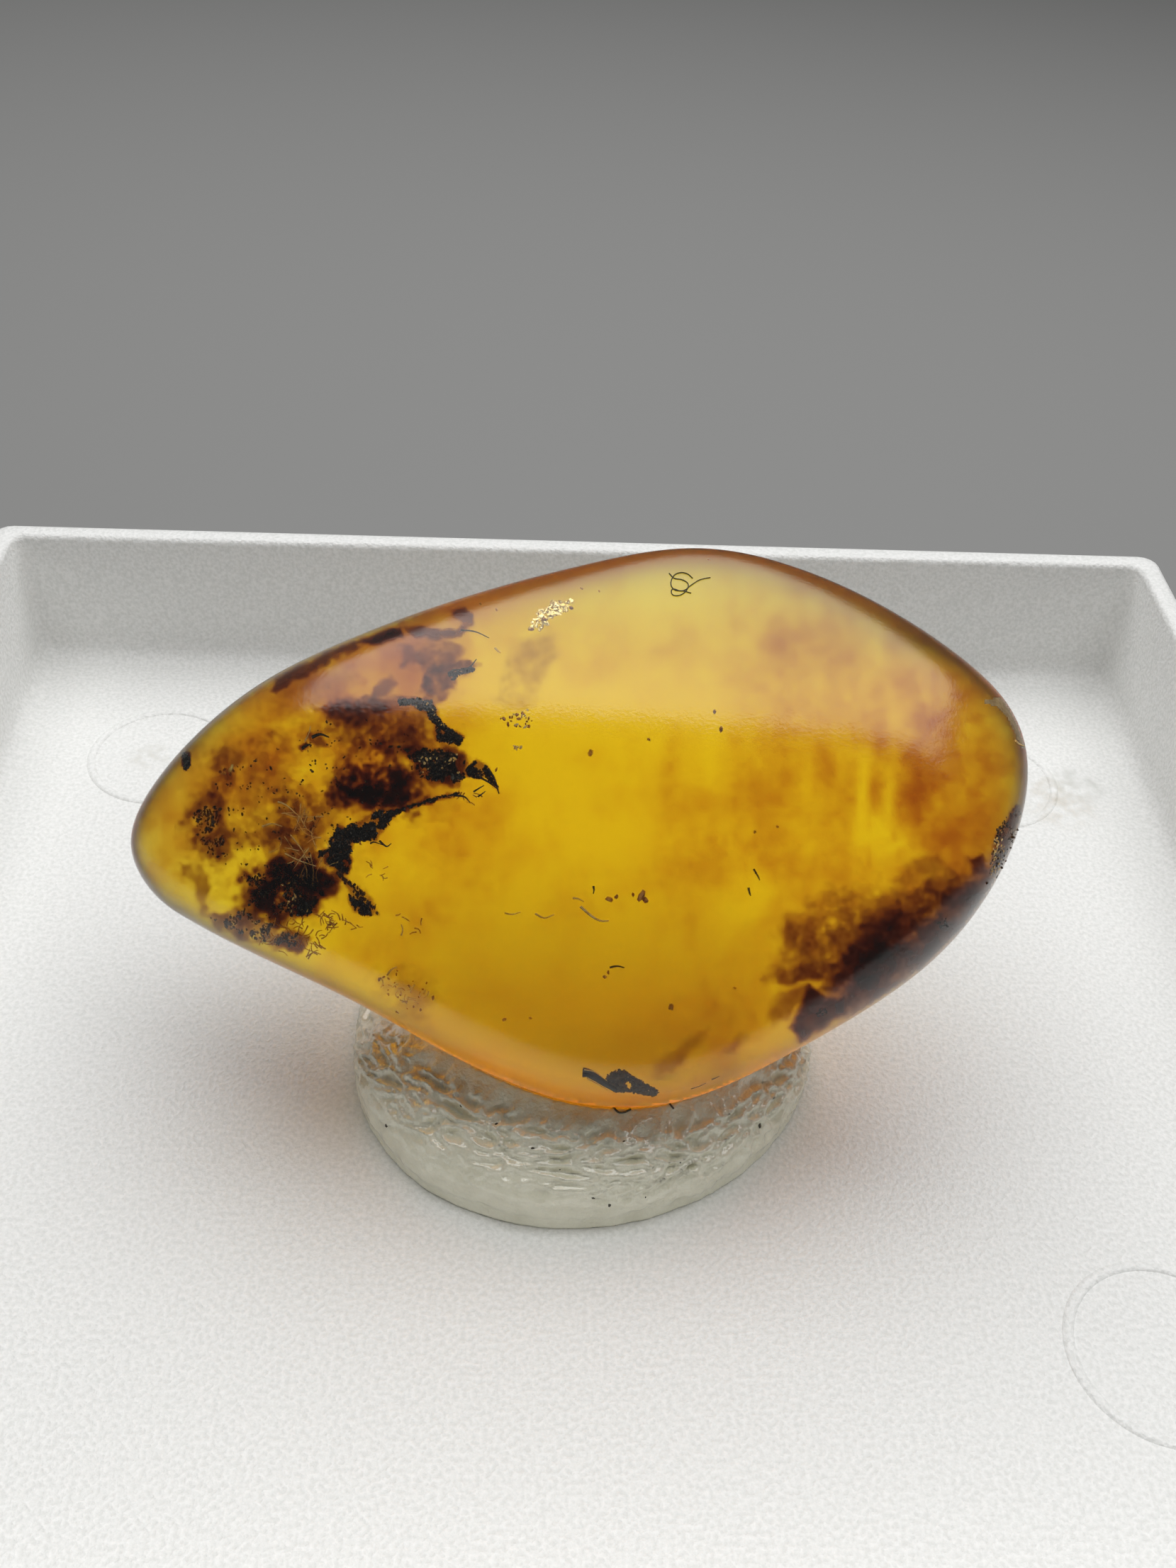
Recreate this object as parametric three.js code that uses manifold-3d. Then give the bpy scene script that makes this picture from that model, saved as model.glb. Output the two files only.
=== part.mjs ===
// A polished amber nugget held by a pressed blob of mounting putty in a shallow open specimen box.
// Millimetres, +Z up. The origin is the middle of the box's underside.
// The nugget's best face looks to -Y and up.
import * as THREE from "three";
import { mergeVertices } from "three/addons/utils/BufferGeometryUtils.js";
import Module from "manifold-3d";

// Box: a thin moulded tray. Its sides are measured inside, at the rim.
const BOX_WIDTH = 40.8;
const BOX_LENGTH = 35.6;
const BOX_DEPTH = 4.85; // from the rim down to the inner floor
const BOX_BASE = 1.0; // thickness of the floor
const BOX_WALL = 0.8; // thickness of the walls at the rim
const BOX_DRAFT = 0.3; // how much each inner wall leans in on its way down
const BOX_FILLET = 0.8; // radius where the inner walls meet the floor
const BOX_EDGE = 0.2; // rounding of the rim's edges and of the edge below
const BOX_CORNER = 0.45; // radius of the inner corners at the rim
const BOX_CORNER_GROWTH = 0.2; // share of the wall's thickness added to the radius outside

// Nugget. Its outline is drawn on its middle plane, u to the right and v up the face,
// anticlockwise from the left tip.
const OUTLINE = [
  [-12.05, -0.4], [-11.35, -1.8], [-10.0, -2.65], [-6.0, -4.55], [-2.6, -6.4], [0.0, -7.3], [2.4, -7.3],
  [5.5, -6.0], [9.6, -3.35], [11.4, -0.7], [12.0, 1.8], [11.5, 3.3], [9.4, 5.15],
  [6.3, 6.8], [3.3, 7.5], [-0.6, 6.85], [-5.5, 5.28], [-8.9, 3.55], [-11.25, 1.3],
];
const APEX = [0.4, -0.6]; // where the rings of both faces shrink to a point
const NUGGET_CENTRE = [-0.5, 0.4, 8.3];
const NUGGET_TURN = -3; // degrees about the vertical
const NUGGET_LEAN = 41; // degrees back from upright
const NUGGET_TILT = 3.2; // degrees in its own plane, right end up
const RIM_POWER = 12; // how late the faces turn over towards the rim
const EDGE_CRISPNESS = 15; // how tightly a facet's edge is rounded

// Each face is a level top with worn facets that fall away from it. A facet looks towards an angle
// in the plane (0 is +u, 90 is +v), starts at a distance from the middle and falls at a slope, in degrees.
const FRONT = {
  height: 3.3,
  facets: [
    { toward: 87, from: 2.6, slope: 27 },
    { toward: 41, from: 8.0, slope: 30 },
    { toward: 310, from: 7.5, slope: 36 },
    { toward: 270, from: 6.5, slope: 36 },
    { toward: 243, from: 5.8, slope: 35 },
    { toward: 184, from: 6.2, slope: 17 },
  ],
};
const BACK = {
  height: 2.8,
  facets: [
    { toward: 80, from: 2.6, slope: 21 },
    { toward: 178, from: 4.0, slope: 13 },
    { toward: 5, from: 6.5, slope: 17 },
    { toward: 265, from: 3.4, slope: 22 },
  ],
};

// Putty. A hand-pressed round blob. Its section is drawn from the middle of its underside
// to the middle of its top.
const PUTTY_CENTRE = [-0.2, -0.8]; // on the box's floor
const PUTTY_RADIUS = 6.5;
const PUTTY_HEIGHT = 3.2;
const PUTTY_SECTION = [
  [0.0, 0.0], [0.5, 0.0], [0.91, 0.0], [0.97, 0.05], [1.0, 0.16], [0.99, 0.31],
  [0.93, 0.47], [0.83, 0.62], [0.66, 0.78], [0.42, 0.92], [0.2, 0.98], [0.0, 1.0],
]; // shares of the radius and the height
const PUTTY_LOBES = [
  { count: 2, depth: 0.02, turn: 0.6 },
  { count: 3, depth: 0.015, turn: 2.1 },
]; // unevenness of its outline, as shares of the radius
const FIT_GAP = 0.3; // between the nugget and the dent that it sits in

const CORNER_STEPS = 4; // steps round a corner of the box
const FILLET_STEPS = 3; // steps in the fillet along the box's floor
const AROUND = 64; // steps round the nugget
const RINGS = 11; // steps from the apex to the rim, on each face of the nugget
const PUTTY_AROUND = 48;

// A closed surface of loops with equal point counts, joined in order, with a point to close each end.
function loopsGeometry(first, loops, last) {
  const around = loops[0].length;
  const points = [first, ...loops.flat(), last].flat();
  const at = (loop, step) => 1 + loop * around + (step % around);
  const end = 1 + loops.length * around;
  const triangles = [];
  for (let step = 0; step < around; step++) {
    triangles.push(0, at(0, step), at(0, step + 1));
    for (let loop = 0; loop + 1 < loops.length; loop++) {
      triangles.push(at(loop, step), at(loop + 1, step), at(loop + 1, step + 1));
      triangles.push(at(loop, step), at(loop + 1, step + 1), at(loop, step + 1));
    }
    triangles.push(at(loops.length - 1, step), end, at(loops.length - 1, step + 1));
  }
  const geometry = new THREE.BufferGeometry();
  geometry.setAttribute("position", new THREE.Float32BufferAttribute(points, 3));
  geometry.setIndex(triangles);
  geometry.computeVertexNormals();
  return geometry;
}

// A rectangle with rounded corners, set out from the box's inner sides by a distance, at a height.
// It runs clockwise.
function boxLoop(out, height) {
  const radius = Math.max(BOX_CORNER + out * BOX_CORNER_GROWTH, BOX_EDGE);
  const x = BOX_WIDTH / 2 + out - radius;
  const y = BOX_LENGTH / 2 + out - radius;
  const corners = [[x, y], [x, -y], [-x, -y], [-x, y]];
  return corners.flatMap(([cx, cy], quarter) =>
    Array.from({ length: CORNER_STEPS + 1 }, (_, step) => {
      const angle = (Math.PI / 2) * (1 - quarter - step / CORNER_STEPS);
      return [cx + radius * Math.cos(angle), cy + radius * Math.sin(angle), height];
    }),
  );
}

// The box: underside, outer walls, rim, inner walls, fillet, floor.
function boxGeometry() {
  const rim = BOX_BASE + BOX_DEPTH;
  const round = BOX_EDGE * (1 - Math.SQRT1_2);
  const section = [
    [BOX_WALL - BOX_EDGE, 0],
    [BOX_WALL - round, round],
    [BOX_WALL, BOX_EDGE],
    [BOX_WALL, rim - BOX_EDGE],
    [BOX_WALL - round, rim - round],
    [BOX_WALL - BOX_EDGE, rim],
    [BOX_EDGE, rim],
    [round, rim - round],
    [0, rim - BOX_EDGE],
  ];
  for (let step = 0; step <= FILLET_STEPS; step++) {
    const angle = (Math.PI / 2) * (step / FILLET_STEPS);
    section.push([
      -BOX_DRAFT - BOX_FILLET * (1 - Math.cos(angle)),
      BOX_BASE + BOX_FILLET * (1 - Math.sin(angle)),
    ]);
  }
  const loops = section.map(([out, height]) => boxLoop(out, height));
  return loopsGeometry([0, 0, 0], loops, [0, 0, BOX_BASE]);
}

// Height of a face over the middle plane at (u, v), before it turns over at the rim:
// a smooth lower bound of its facets.
function faceHeight(face, u, v) {
  let sum = face.height ** -EDGE_CRISPNESS;
  for (const { toward, from, slope } of face.facets) {
    const angle = THREE.MathUtils.degToRad(toward);
    const along = u * Math.cos(angle) + v * Math.sin(angle);
    const facet = face.height - Math.tan(THREE.MathUtils.degToRad(slope)) * (along - from);
    sum += facet ** -EDGE_CRISPNESS;
  }
  return sum ** (-1 / EDGE_CRISPNESS);
}

// The nugget: front apex, front rings, rim, back rings, back apex.
function nuggetGeometry() {
  const corners = OUTLINE.map(([u, v]) => new THREE.Vector3(u, v, 0));
  const curve = new THREE.CatmullRomCurve3(corners, true, "centripetal");
  const rim = curve.getSpacedPoints(AROUND).slice(0, AROUND);
  const loops = [];
  for (let ring = 1; ring < 2 * RINGS; ring++) {
    const isFront = ring <= RINGS;
    const share = Math.sin(((isFront ? ring : 2 * RINGS - ring) / RINGS) * (Math.PI / 2));
    const turn = Math.sqrt(1 - share ** RIM_POWER);
    loops.push(
      rim.map((corner) => {
        const u = APEX[0] + share * (corner.x - APEX[0]);
        const v = APEX[1] + share * (corner.y - APEX[1]);
        return [u, v, turn * (isFront ? faceHeight(FRONT, u, v) : -faceHeight(BACK, u, v))];
      }),
    );
  }
  return loopsGeometry(
    [...APEX, faceHeight(FRONT, ...APEX)], loops, [...APEX, -faceHeight(BACK, ...APEX)],
  );
}

// The same surface moved out along its normals.
function grown(geometry, distance) {
  const larger = geometry.clone();
  const position = larger.getAttribute("position");
  const normal = larger.getAttribute("normal");
  for (let i = 0; i < position.count; i++) {
    position.setXYZ(
      i,
      position.getX(i) + distance * normal.getX(i),
      position.getY(i) + distance * normal.getY(i),
      position.getZ(i) + distance * normal.getZ(i),
    );
  }
  return larger;
}

// The putty before the nugget is pressed in: a turned section with an uneven outline, flat below.
function puttyBlob() {
  const section = PUTTY_SECTION.map(([r, h]) => new THREE.Vector2(r * PUTTY_RADIUS, h * PUTTY_HEIGHT));
  const blob = new THREE.LatheGeometry(section, PUTTY_AROUND).rotateX(Math.PI / 2);
  const position = blob.getAttribute("position");
  for (let i = 0; i < position.count; i++) {
    const x = position.getX(i);
    const y = position.getY(i);
    const angle = Math.atan2(y, x);
    let stretch = 1;
    for (const { count, depth, turn } of PUTTY_LOBES) stretch += depth * Math.sin(count * angle + turn);
    position.setXYZ(
      i,
      PUTTY_CENTRE[0] + x * stretch,
      PUTTY_CENTRE[1] + y * stretch,
      BOX_BASE + position.getZ(i),
    );
  }
  return blob;
}

const wasm = await Module();
wasm.setup();

function toSolid(geometry) {
  const bare = geometry.clone();
  bare.deleteAttribute("normal");
  bare.deleteAttribute("uv");
  const merged = mergeVertices(bare, 1e-4);
  return new wasm.Manifold(
    new wasm.Mesh({
      numProp: 3,
      vertProperties: new Float32Array(merged.getAttribute("position").array),
      triVerts: new Uint32Array(merged.index.array),
    }),
  );
}

function toGeometry(solid) {
  const mesh = solid.getMesh();
  const geometry = new THREE.BufferGeometry();
  geometry.setAttribute("position", new THREE.BufferAttribute(mesh.vertProperties, mesh.numProp));
  geometry.setIndex(new THREE.BufferAttribute(mesh.triVerts, 1));
  geometry.computeVertexNormals();
  return geometry;
}

const boxMaterial = new THREE.MeshStandardMaterial({ color: 0xf2f2ee, roughness: 0.5, metalness: 0 });
const puttyMaterial = new THREE.MeshStandardMaterial({ color: 0xc9cbbf, roughness: 0.6, metalness: 0 });
const amberMaterial = new THREE.MeshStandardMaterial({
  color: 0xd9981f, roughness: 0.25, metalness: 0, transparent: true, opacity: 0.8,
});

const box = new THREE.Mesh(boxGeometry(), boxMaterial);
box.name = "specimen_box";

const nugget = new THREE.Mesh(nuggetGeometry(), amberMaterial);
nugget.name = "amber_nugget";
nugget.rotation.x = THREE.MathUtils.degToRad(90 - NUGGET_LEAN);
nugget.rotation.z = THREE.MathUtils.degToRad(NUGGET_TILT);
const placed = new THREE.Group();
placed.position.set(...NUGGET_CENTRE);
placed.rotation.z = THREE.MathUtils.degToRad(NUGGET_TURN);
placed.add(nugget);
placed.updateMatrixWorld(true);

const dent = grown(nugget.geometry, FIT_GAP).applyMatrix4(nugget.matrixWorld);
const putty = new THREE.Mesh(toGeometry(toSolid(puttyBlob()).subtract(toSolid(dent))), puttyMaterial);
putty.name = "mounting_putty";

const specimen = new THREE.Group();
specimen.add(box, putty, placed);

export default specimen;
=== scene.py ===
"""An amber nugget with inclusions, on a blob of mounting putty in a small white specimen box."""

import math
import random

import bmesh
import bpy
from mathutils import Euler, Matrix, Vector, noise
from mathutils.bvhtree import BVHTree


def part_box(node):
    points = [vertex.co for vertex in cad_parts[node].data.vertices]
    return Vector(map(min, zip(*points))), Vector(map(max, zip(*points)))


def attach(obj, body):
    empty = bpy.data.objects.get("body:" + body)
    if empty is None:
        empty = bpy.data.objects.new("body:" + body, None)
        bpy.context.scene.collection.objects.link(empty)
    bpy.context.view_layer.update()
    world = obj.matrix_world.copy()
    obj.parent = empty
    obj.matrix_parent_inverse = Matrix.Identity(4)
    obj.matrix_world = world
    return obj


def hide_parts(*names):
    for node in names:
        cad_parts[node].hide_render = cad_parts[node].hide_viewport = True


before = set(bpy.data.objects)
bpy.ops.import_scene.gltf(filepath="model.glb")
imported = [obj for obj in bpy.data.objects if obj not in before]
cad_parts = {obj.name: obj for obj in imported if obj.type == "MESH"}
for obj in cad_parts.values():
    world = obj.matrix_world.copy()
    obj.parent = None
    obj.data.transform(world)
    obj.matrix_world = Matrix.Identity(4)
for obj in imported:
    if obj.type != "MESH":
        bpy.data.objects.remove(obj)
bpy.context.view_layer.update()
scene = bpy.context.scene
noise.seed_set(11)  # or else noise_vector differs from run to run
MM = 0.001
TINY = 0.002  # millimetres; too little to be seen

# Camera: the photograph's frame, and where the nugget's middle lies in it.
PHOTO_WIDTH, PHOTO_HEIGHT = 1659, 2212
FOCAL_PIXELS = 2200
SENSOR_MM = 36
CAMERA_TURN, CAMERA_DOWN, CAMERA_ROLL = map(math.radians, (-3, 41, 3.2))
NUGGET_CENTRE = Vector((-0.5, 0.4, 8.3)) * MM
NUGGET_PIXEL = (816, 1167)
NUGGET_DISTANCE = 41.67 * MM
PIXEL = 0.01894 * MM  # a photo pixel's size at the nugget

# Floor and light.
FLOOR_HALF = 1500 * MM
FLOOR_COLOR = (0.23, 0.23, 0.226, 1)
WORLD_LIGHT = 0.13
LAMP_AT = Vector((10, 40, 117)) * MM
LAMP_AIM = Vector((0, 0, 4)) * MM
LAMP_SIZE = (200 * MM, 140 * MM)
LAMP_ENERGY = 0.215

# Looks. Absorption is in shares per metre of red, green and blue; grain sizes are millimetres.
AMBER_IOR = 1.54
AMBER_ROUGHNESS = 0.2
AMBER_ABSORPTION = (2, 78, 1000)
AMBER_GRAIN, AMBER_GRAIN_DEPTH = 0.09, 0.006
HAZE_IOR = 1.12
HAZE_ROUGHNESS = 1.0
HAZE_SHARE = Vector((0.975, 0.985, 0.78))  # of the nugget's length, height and thickness
ORANGE_ABSORPTION = (640, 1440, 3000)
DARK_ABSORPTION = (5500, 8500, 12000)
# absorption of the dark sheet of painted shade along the nugget's lower edge
RIM_SHADE_ABSORPTION = (6000, 3200, 6000)
DEBRIS_MOTTLE = 0.12
DEBRIS_GRAIN, DEBRIS_GRAIN_DEPTH = 0.03, 0.01
PUTTY_MOTTLE = 0.5
PUTTY_SHADES = [(0.3, (0.74, 0.72, 0.56)), (0.7, (0.85, 0.83, 0.67))]
PUTTY_GRAIN, PUTTY_GRAIN_DEPTH = 0.11, 0.045
BOX_GRAIN, BOX_GRAIN_DEPTH = 0.125, 0.04
BOX_SHADES = [(0.34, (0.75, 0.755, 0.735)), (0.66, (0.87, 0.87, 0.855))]

# Dirt on the box's floor: middle and reach in millimetres, and its colour.
DIRT = [
    ((16.6, 10.2, 1.0), 1.8, (0.52, 0.46, 0.36)),
    ((17.6, 11.1, 1.0), 1.3, (0.5, 0.51, 0.47)),
    ((-15.0, 11.5, 1.0), 0.9, (0.5, 0.48, 0.4)),
]
DIRT_FULL = 0.2  # share of the reach where the dirt is full
DIRT_MOTTLE = 0.5
MIX_A, MIX_B, MIX_RESULT = 6, 7, 2  # the colour sockets of a mix node
DIRT_SHADES = [(0.4, (0, 0, 0)), (0.7, (0.7, 0.7, 0.7))]
# Round ejector marks on the box's floor, in millimetres.
MARK_PLACES = [(-14.6, 11.6), (14.3, 11.2), (14.3, -10.5)]
MARK_RADIUS = 2.4
MARK_WIDTH = 0.3
MARK_HEIGHT = 0.055
MARK_STEPS, MARK_SIDES = 96, 8

# Putty, in millimetres.
PUTTY_VOXEL = 0.075
PUTTY_SMOOTHING = 3
PUTTY_DIP = 0.55  # share of its height that the putty loses behind the nugget's lower edge
PUTTY_DIP_START = -3  # along y; the dip is full at 0
PUTTY_GAP = 0.04  # left between putty and amber
PUTTY_REACH = (0.75, 0.4)  # between these distances from the amber the putty is drawn up to it
PUTTY_FOOT = 0.45  # the rounded lower edge is filled out by this much
PUTTY_FOOT_TOP = 0.55  # and up to this height
PUTTY_FLAT = 0.16  # putty lower than this lies flat on the floor
PUTTY_STILL = 0.5  # wrinkles and lumps fade out below this height
LUMP_SIZE = 2.2
LUMP_HEIGHT = 0.12
WRINKLE_LENGTH = 0.8
WRINKLE_WIDTH = 0.28
WRINKLE_DEPTH = 0.21
WRINKLE_SLANT = 0.7  # how far a wrinkle moves sideways on its way from the amber
WRINKLE_BEND, WRINKLE_BEND_SIZE = 0.5, 0.9
WRINKLE_CREST = 0.8  # share of the depth at the top of a ridge
WRINKLE_COARSE = 2.2  # strength of the long ones; the fine have 1
WRINKLE_FINER = 2.1  # times as fine
WRINKLE_SHIFT = Vector((5, 1, 3))  # keeps the two apart
WRINKLE_RING = (3.2, 0.8)  # between these distances from the amber the wrinkles grow to their depth
WRINKLE_FAR = 0.15  # share of the depth that is left farther out


def view_rotation():
    """The camera's rotation, which is also the nugget's: its face looks straight at the camera."""
    turn = Matrix.Rotation(CAMERA_TURN, 3, "Z")
    down = Matrix.Rotation(math.pi / 2 - CAMERA_DOWN, 3, "X")
    roll = Matrix.Rotation(CAMERA_ROLL, 3, "Z")
    return turn @ down @ roll


VIEW = view_rotation()


def pixel_direction(x, y):
    """Direction of the ray through a photo pixel; it is 1 long along the optical axis."""
    right = (x - PHOTO_WIDTH / 2) / FOCAL_PIXELS
    up = (PHOTO_HEIGHT / 2 - y) / FOCAL_PIXELS
    return VIEW @ Vector((right, up, -1))


CAMERA_AT = NUGGET_CENTRE - pixel_direction(*NUGGET_PIXEL) * NUGGET_DISTANCE


def make_camera():
    data = bpy.data.cameras.new("camera")
    data.sensor_fit = "AUTO"
    data.sensor_width = SENSOR_MM
    data.lens = FOCAL_PIXELS / PHOTO_HEIGHT * SENSOR_MM
    data.clip_start = 1 * MM
    camera = bpy.data.objects.new("camera", data)
    camera.matrix_world = Matrix.Translation(CAMERA_AT) @ VIEW.to_4x4()
    scene.collection.objects.link(camera)
    scene.camera = camera


def add_piece(name, mesh, material, smooth=True):
    """A mesh as a named piece that rides on the part's only body."""
    piece = bpy.data.objects.new(name, mesh)
    scene.collection.objects.link(piece)
    mesh.materials.clear()
    mesh.materials.append(material)
    for polygon in mesh.polygons:
        polygon.use_smooth = smooth
    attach(piece, "root")
    return piece


class Nodes:
    """Short ways to add and join a material's nodes."""

    def __init__(self, name, **inputs):
        self.material = bpy.data.materials.new(name)
        self.material.use_nodes = True
        self.tree = self.material.node_tree
        self.bsdf = self.tree.nodes["Principled BSDF"]
        self.output = self.tree.nodes["Material Output"]
        for key, value in inputs.items():
            self.bsdf.inputs[key.replace("_", " ")].default_value = value

    def add(self, kind, **settings):
        node = self.tree.nodes.new(kind)
        for key, value in settings.items():
            setattr(node, key, value)
        return node

    def link(self, a, b):
        self.tree.links.new(a, b)

    def millimetres(self):
        """The place on the piece, in millimetres."""
        place = self.add("ShaderNodeTexCoord")
        scale = self.add("ShaderNodeVectorMath", operation="SCALE")
        scale.inputs["Scale"].default_value = 1 / MM
        self.link(place.outputs["Object"], scale.inputs[0])
        return scale.outputs["Vector"]

    def noise(self, place, size_mm, detail):
        node = self.add("ShaderNodeTexNoise")
        node.inputs["Scale"].default_value = 1 / size_mm
        node.inputs["Detail"].default_value = detail
        self.link(place, node.inputs["Vector"])
        return node.outputs["Fac"]

    def ramp(self, value, stops):
        node = self.add("ShaderNodeValToRGB")
        for element, (position, color) in zip(node.color_ramp.elements, stops):
            element.position = position
            element.color = (*color, 1.0)
        self.link(value, node.inputs["Fac"])
        return node.outputs["Color"]

    def paint(self, color):
        self.link(color, self.bsdf.inputs["Base Color"])

    def bump(self, height, depth_mm):
        node = self.add("ShaderNodeBump")
        node.inputs["Strength"].default_value = 1.0
        node.inputs["Distance"].default_value = depth_mm * MM
        self.link(height, node.inputs["Height"])
        self.link(node.outputs["Normal"], self.bsdf.inputs["Normal"])

    def absorb(self, shares):
        """Absorption inside the piece, in shares per metre of red, green and blue."""
        density = max(shares)
        node = self.add("ShaderNodeVolumeAbsorption")
        node.inputs["Color"].default_value = (*(1 - share / density for share in shares), 1)
        node.inputs["Density"].default_value = density
        self.link(node.outputs["Volume"], self.output.inputs["Volume"])


def clear_nodes(name, ior, roughness):
    """Nodes of something that all light goes into."""
    return Nodes(name, Base_Color=(1, 1, 1, 1), IOR=ior, Transmission_Weight=1.0, Roughness=roughness)


def amber_material():
    nodes = clear_nodes("amber", AMBER_IOR, AMBER_ROUGHNESS)
    nodes.bump(nodes.noise(nodes.millimetres(), AMBER_GRAIN, detail=2), AMBER_GRAIN_DEPTH)
    nodes.absorb(AMBER_ABSORPTION)
    return nodes.material


def cloud_and_shade_material(name, absorption):
    """A stain in the resin, and also the sheet of painted shade along the lower edge: light goes
    straight on through it and loses some of its colour.
    """
    nodes = clear_nodes(name, ior=1.0, roughness=0.0)
    nodes.absorb(absorption)
    return nodes.material


def debris_material(name, dark, light, roughness, metallic=0.0):
    """Crumbs of wood, soil and plant: grains that differ a little in colour."""
    nodes = Nodes(name, Roughness=roughness, Metallic=metallic)
    place = nodes.millimetres()
    nodes.paint(nodes.ramp(nodes.noise(place, DEBRIS_MOTTLE, detail=2), [(0.35, dark), (0.7, light)]))
    nodes.bump(nodes.noise(place, DEBRIS_GRAIN, detail=2), DEBRIS_GRAIN_DEPTH)
    return nodes.material


def putty_material():
    nodes = Nodes("putty", Roughness=0.3, IOR=1.7, Coat_Weight=0.9, Coat_Roughness=0.12, Coat_IOR=1.75)
    place = nodes.millimetres()
    nodes.paint(nodes.ramp(nodes.noise(place, PUTTY_MOTTLE, detail=5), PUTTY_SHADES))
    nodes.bump(nodes.noise(place, PUTTY_GRAIN, detail=3), PUTTY_GRAIN_DEPTH)
    return nodes.material


def box_material():
    nodes = Nodes("box_plastic", Roughness=0.4)
    place = nodes.millimetres()
    grain = nodes.noise(place, BOX_GRAIN, detail=2)
    color = nodes.ramp(grain, BOX_SHADES)
    patchy = nodes.ramp(nodes.noise(place, DIRT_MOTTLE, detail=5), DIRT_SHADES)
    for spot, reach, tint in DIRT:
        distance = nodes.add("ShaderNodeVectorMath", operation="DISTANCE")
        distance.inputs[1].default_value = spot
        nodes.link(place, distance.inputs[0])
        near = nodes.add("ShaderNodeMapRange", interpolation_type="SMOOTHSTEP")
        near.inputs["From Min"].default_value = reach
        near.inputs["From Max"].default_value = DIRT_FULL * reach
        nodes.link(distance.outputs["Value"], near.inputs["Value"])
        share = nodes.add("ShaderNodeMath", operation="MULTIPLY")
        nodes.link(near.outputs["Result"], share.inputs[0])
        nodes.link(patchy, share.inputs[1])
        mix = nodes.add("ShaderNodeMix", data_type="RGBA")
        nodes.link(share.outputs["Value"], mix.inputs["Factor"])
        nodes.link(color, mix.inputs[MIX_A])
        mix.inputs[MIX_B].default_value = (*tint, 1)
        color = mix.outputs[MIX_RESULT]
    nodes.paint(color)
    nodes.bump(grain, BOX_GRAIN_DEPTH)
    return nodes.material


def cad_copy(node):
    """The node's mesh as a bmesh with shared vertices and its triangle pairs joined into quads."""
    bm = bmesh.new()
    bm.from_mesh(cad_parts[node].data)
    bmesh.ops.remove_doubles(bm, verts=bm.verts, dist=TINY * MM)
    bend = math.radians(60)
    bmesh.ops.join_triangles(bm, faces=bm.faces, angle_face_threshold=bend, angle_shape_threshold=bend)
    return bm


def evaluated_mesh(carrier):
    """The mesh of an object with its modifiers applied. The object goes."""
    evaluated = carrier.evaluated_get(bpy.context.evaluated_depsgraph_get())
    mesh = bpy.data.meshes.new_from_object(evaluated)
    bpy.data.objects.remove(carrier)
    return mesh


def subdivided(bm, levels):
    """The bmesh after Catmull-Clark subdivision, as a mesh."""
    rough = bpy.data.meshes.new("rough")
    bm.to_mesh(rough)
    bm.free()
    carrier = bpy.data.objects.new("carrier", rough)
    scene.collection.objects.link(carrier)
    modifier = carrier.modifiers.new("subdivision", "SUBSURF")
    modifier.levels = modifier.render_levels = levels
    return evaluated_mesh(carrier)


def remeshed(node, voxel):
    """An evenly fine copy of a node's mesh."""
    carrier = bpy.data.objects.new("carrier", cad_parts[node].data.copy())
    scene.collection.objects.link(carrier)
    modifier = carrier.modifiers.new("remesh", "REMESH")
    modifier.mode = "VOXEL"
    modifier.voxel_size = voxel
    smooth = carrier.modifiers.new("smooth", "SMOOTH")
    smooth.iterations = PUTTY_SMOOTHING
    return evaluated_mesh(carrier)


def make_nugget():
    mesh = subdivided(cad_copy("amber_nugget"), levels=3)
    piece = add_piece("amber", mesh, amber_material())
    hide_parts("amber_nugget")
    return mesh


def make_haze():
    """The resin's cloudiness: a slightly smaller copy of the nugget that scatters light."""
    mesh = subdivided(cad_copy("amber_nugget"), levels=2)
    back = VIEW.transposed()
    for vertex in mesh.vertices:
        vertex.co = NUGGET_CENTRE + VIEW @ (back @ (vertex.co - NUGGET_CENTRE) * HAZE_SHARE)
    piece = add_piece("haze", mesh, clear_nodes("haze", HAZE_IOR, HAZE_ROUGHNESS).material)


def smoothstep(low, high, value):
    share = min(max((value - low) / (high - low), 0), 1)
    return share * share * (3 - 2 * share)


def wrinkle_at(place, around, distance):
    """Share of the wrinkles' depth at a place on the putty: sharp ridges with valleys between."""
    sideways = around + WRINKLE_SLANT * distance
    at = Vector((sideways / WRINKLE_LENGTH, distance / WRINKLE_WIDTH, 0)) / MM
    at += WRINKLE_BEND * noise.noise_vector(place / (WRINKLE_BEND_SIZE * MM))
    coarse = WRINKLE_COARSE * abs(noise.noise(at))
    fine = abs(noise.noise(at * WRINKLE_FINER + WRINKLE_SHIFT))
    return WRINKLE_CREST - coarse - fine


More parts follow.
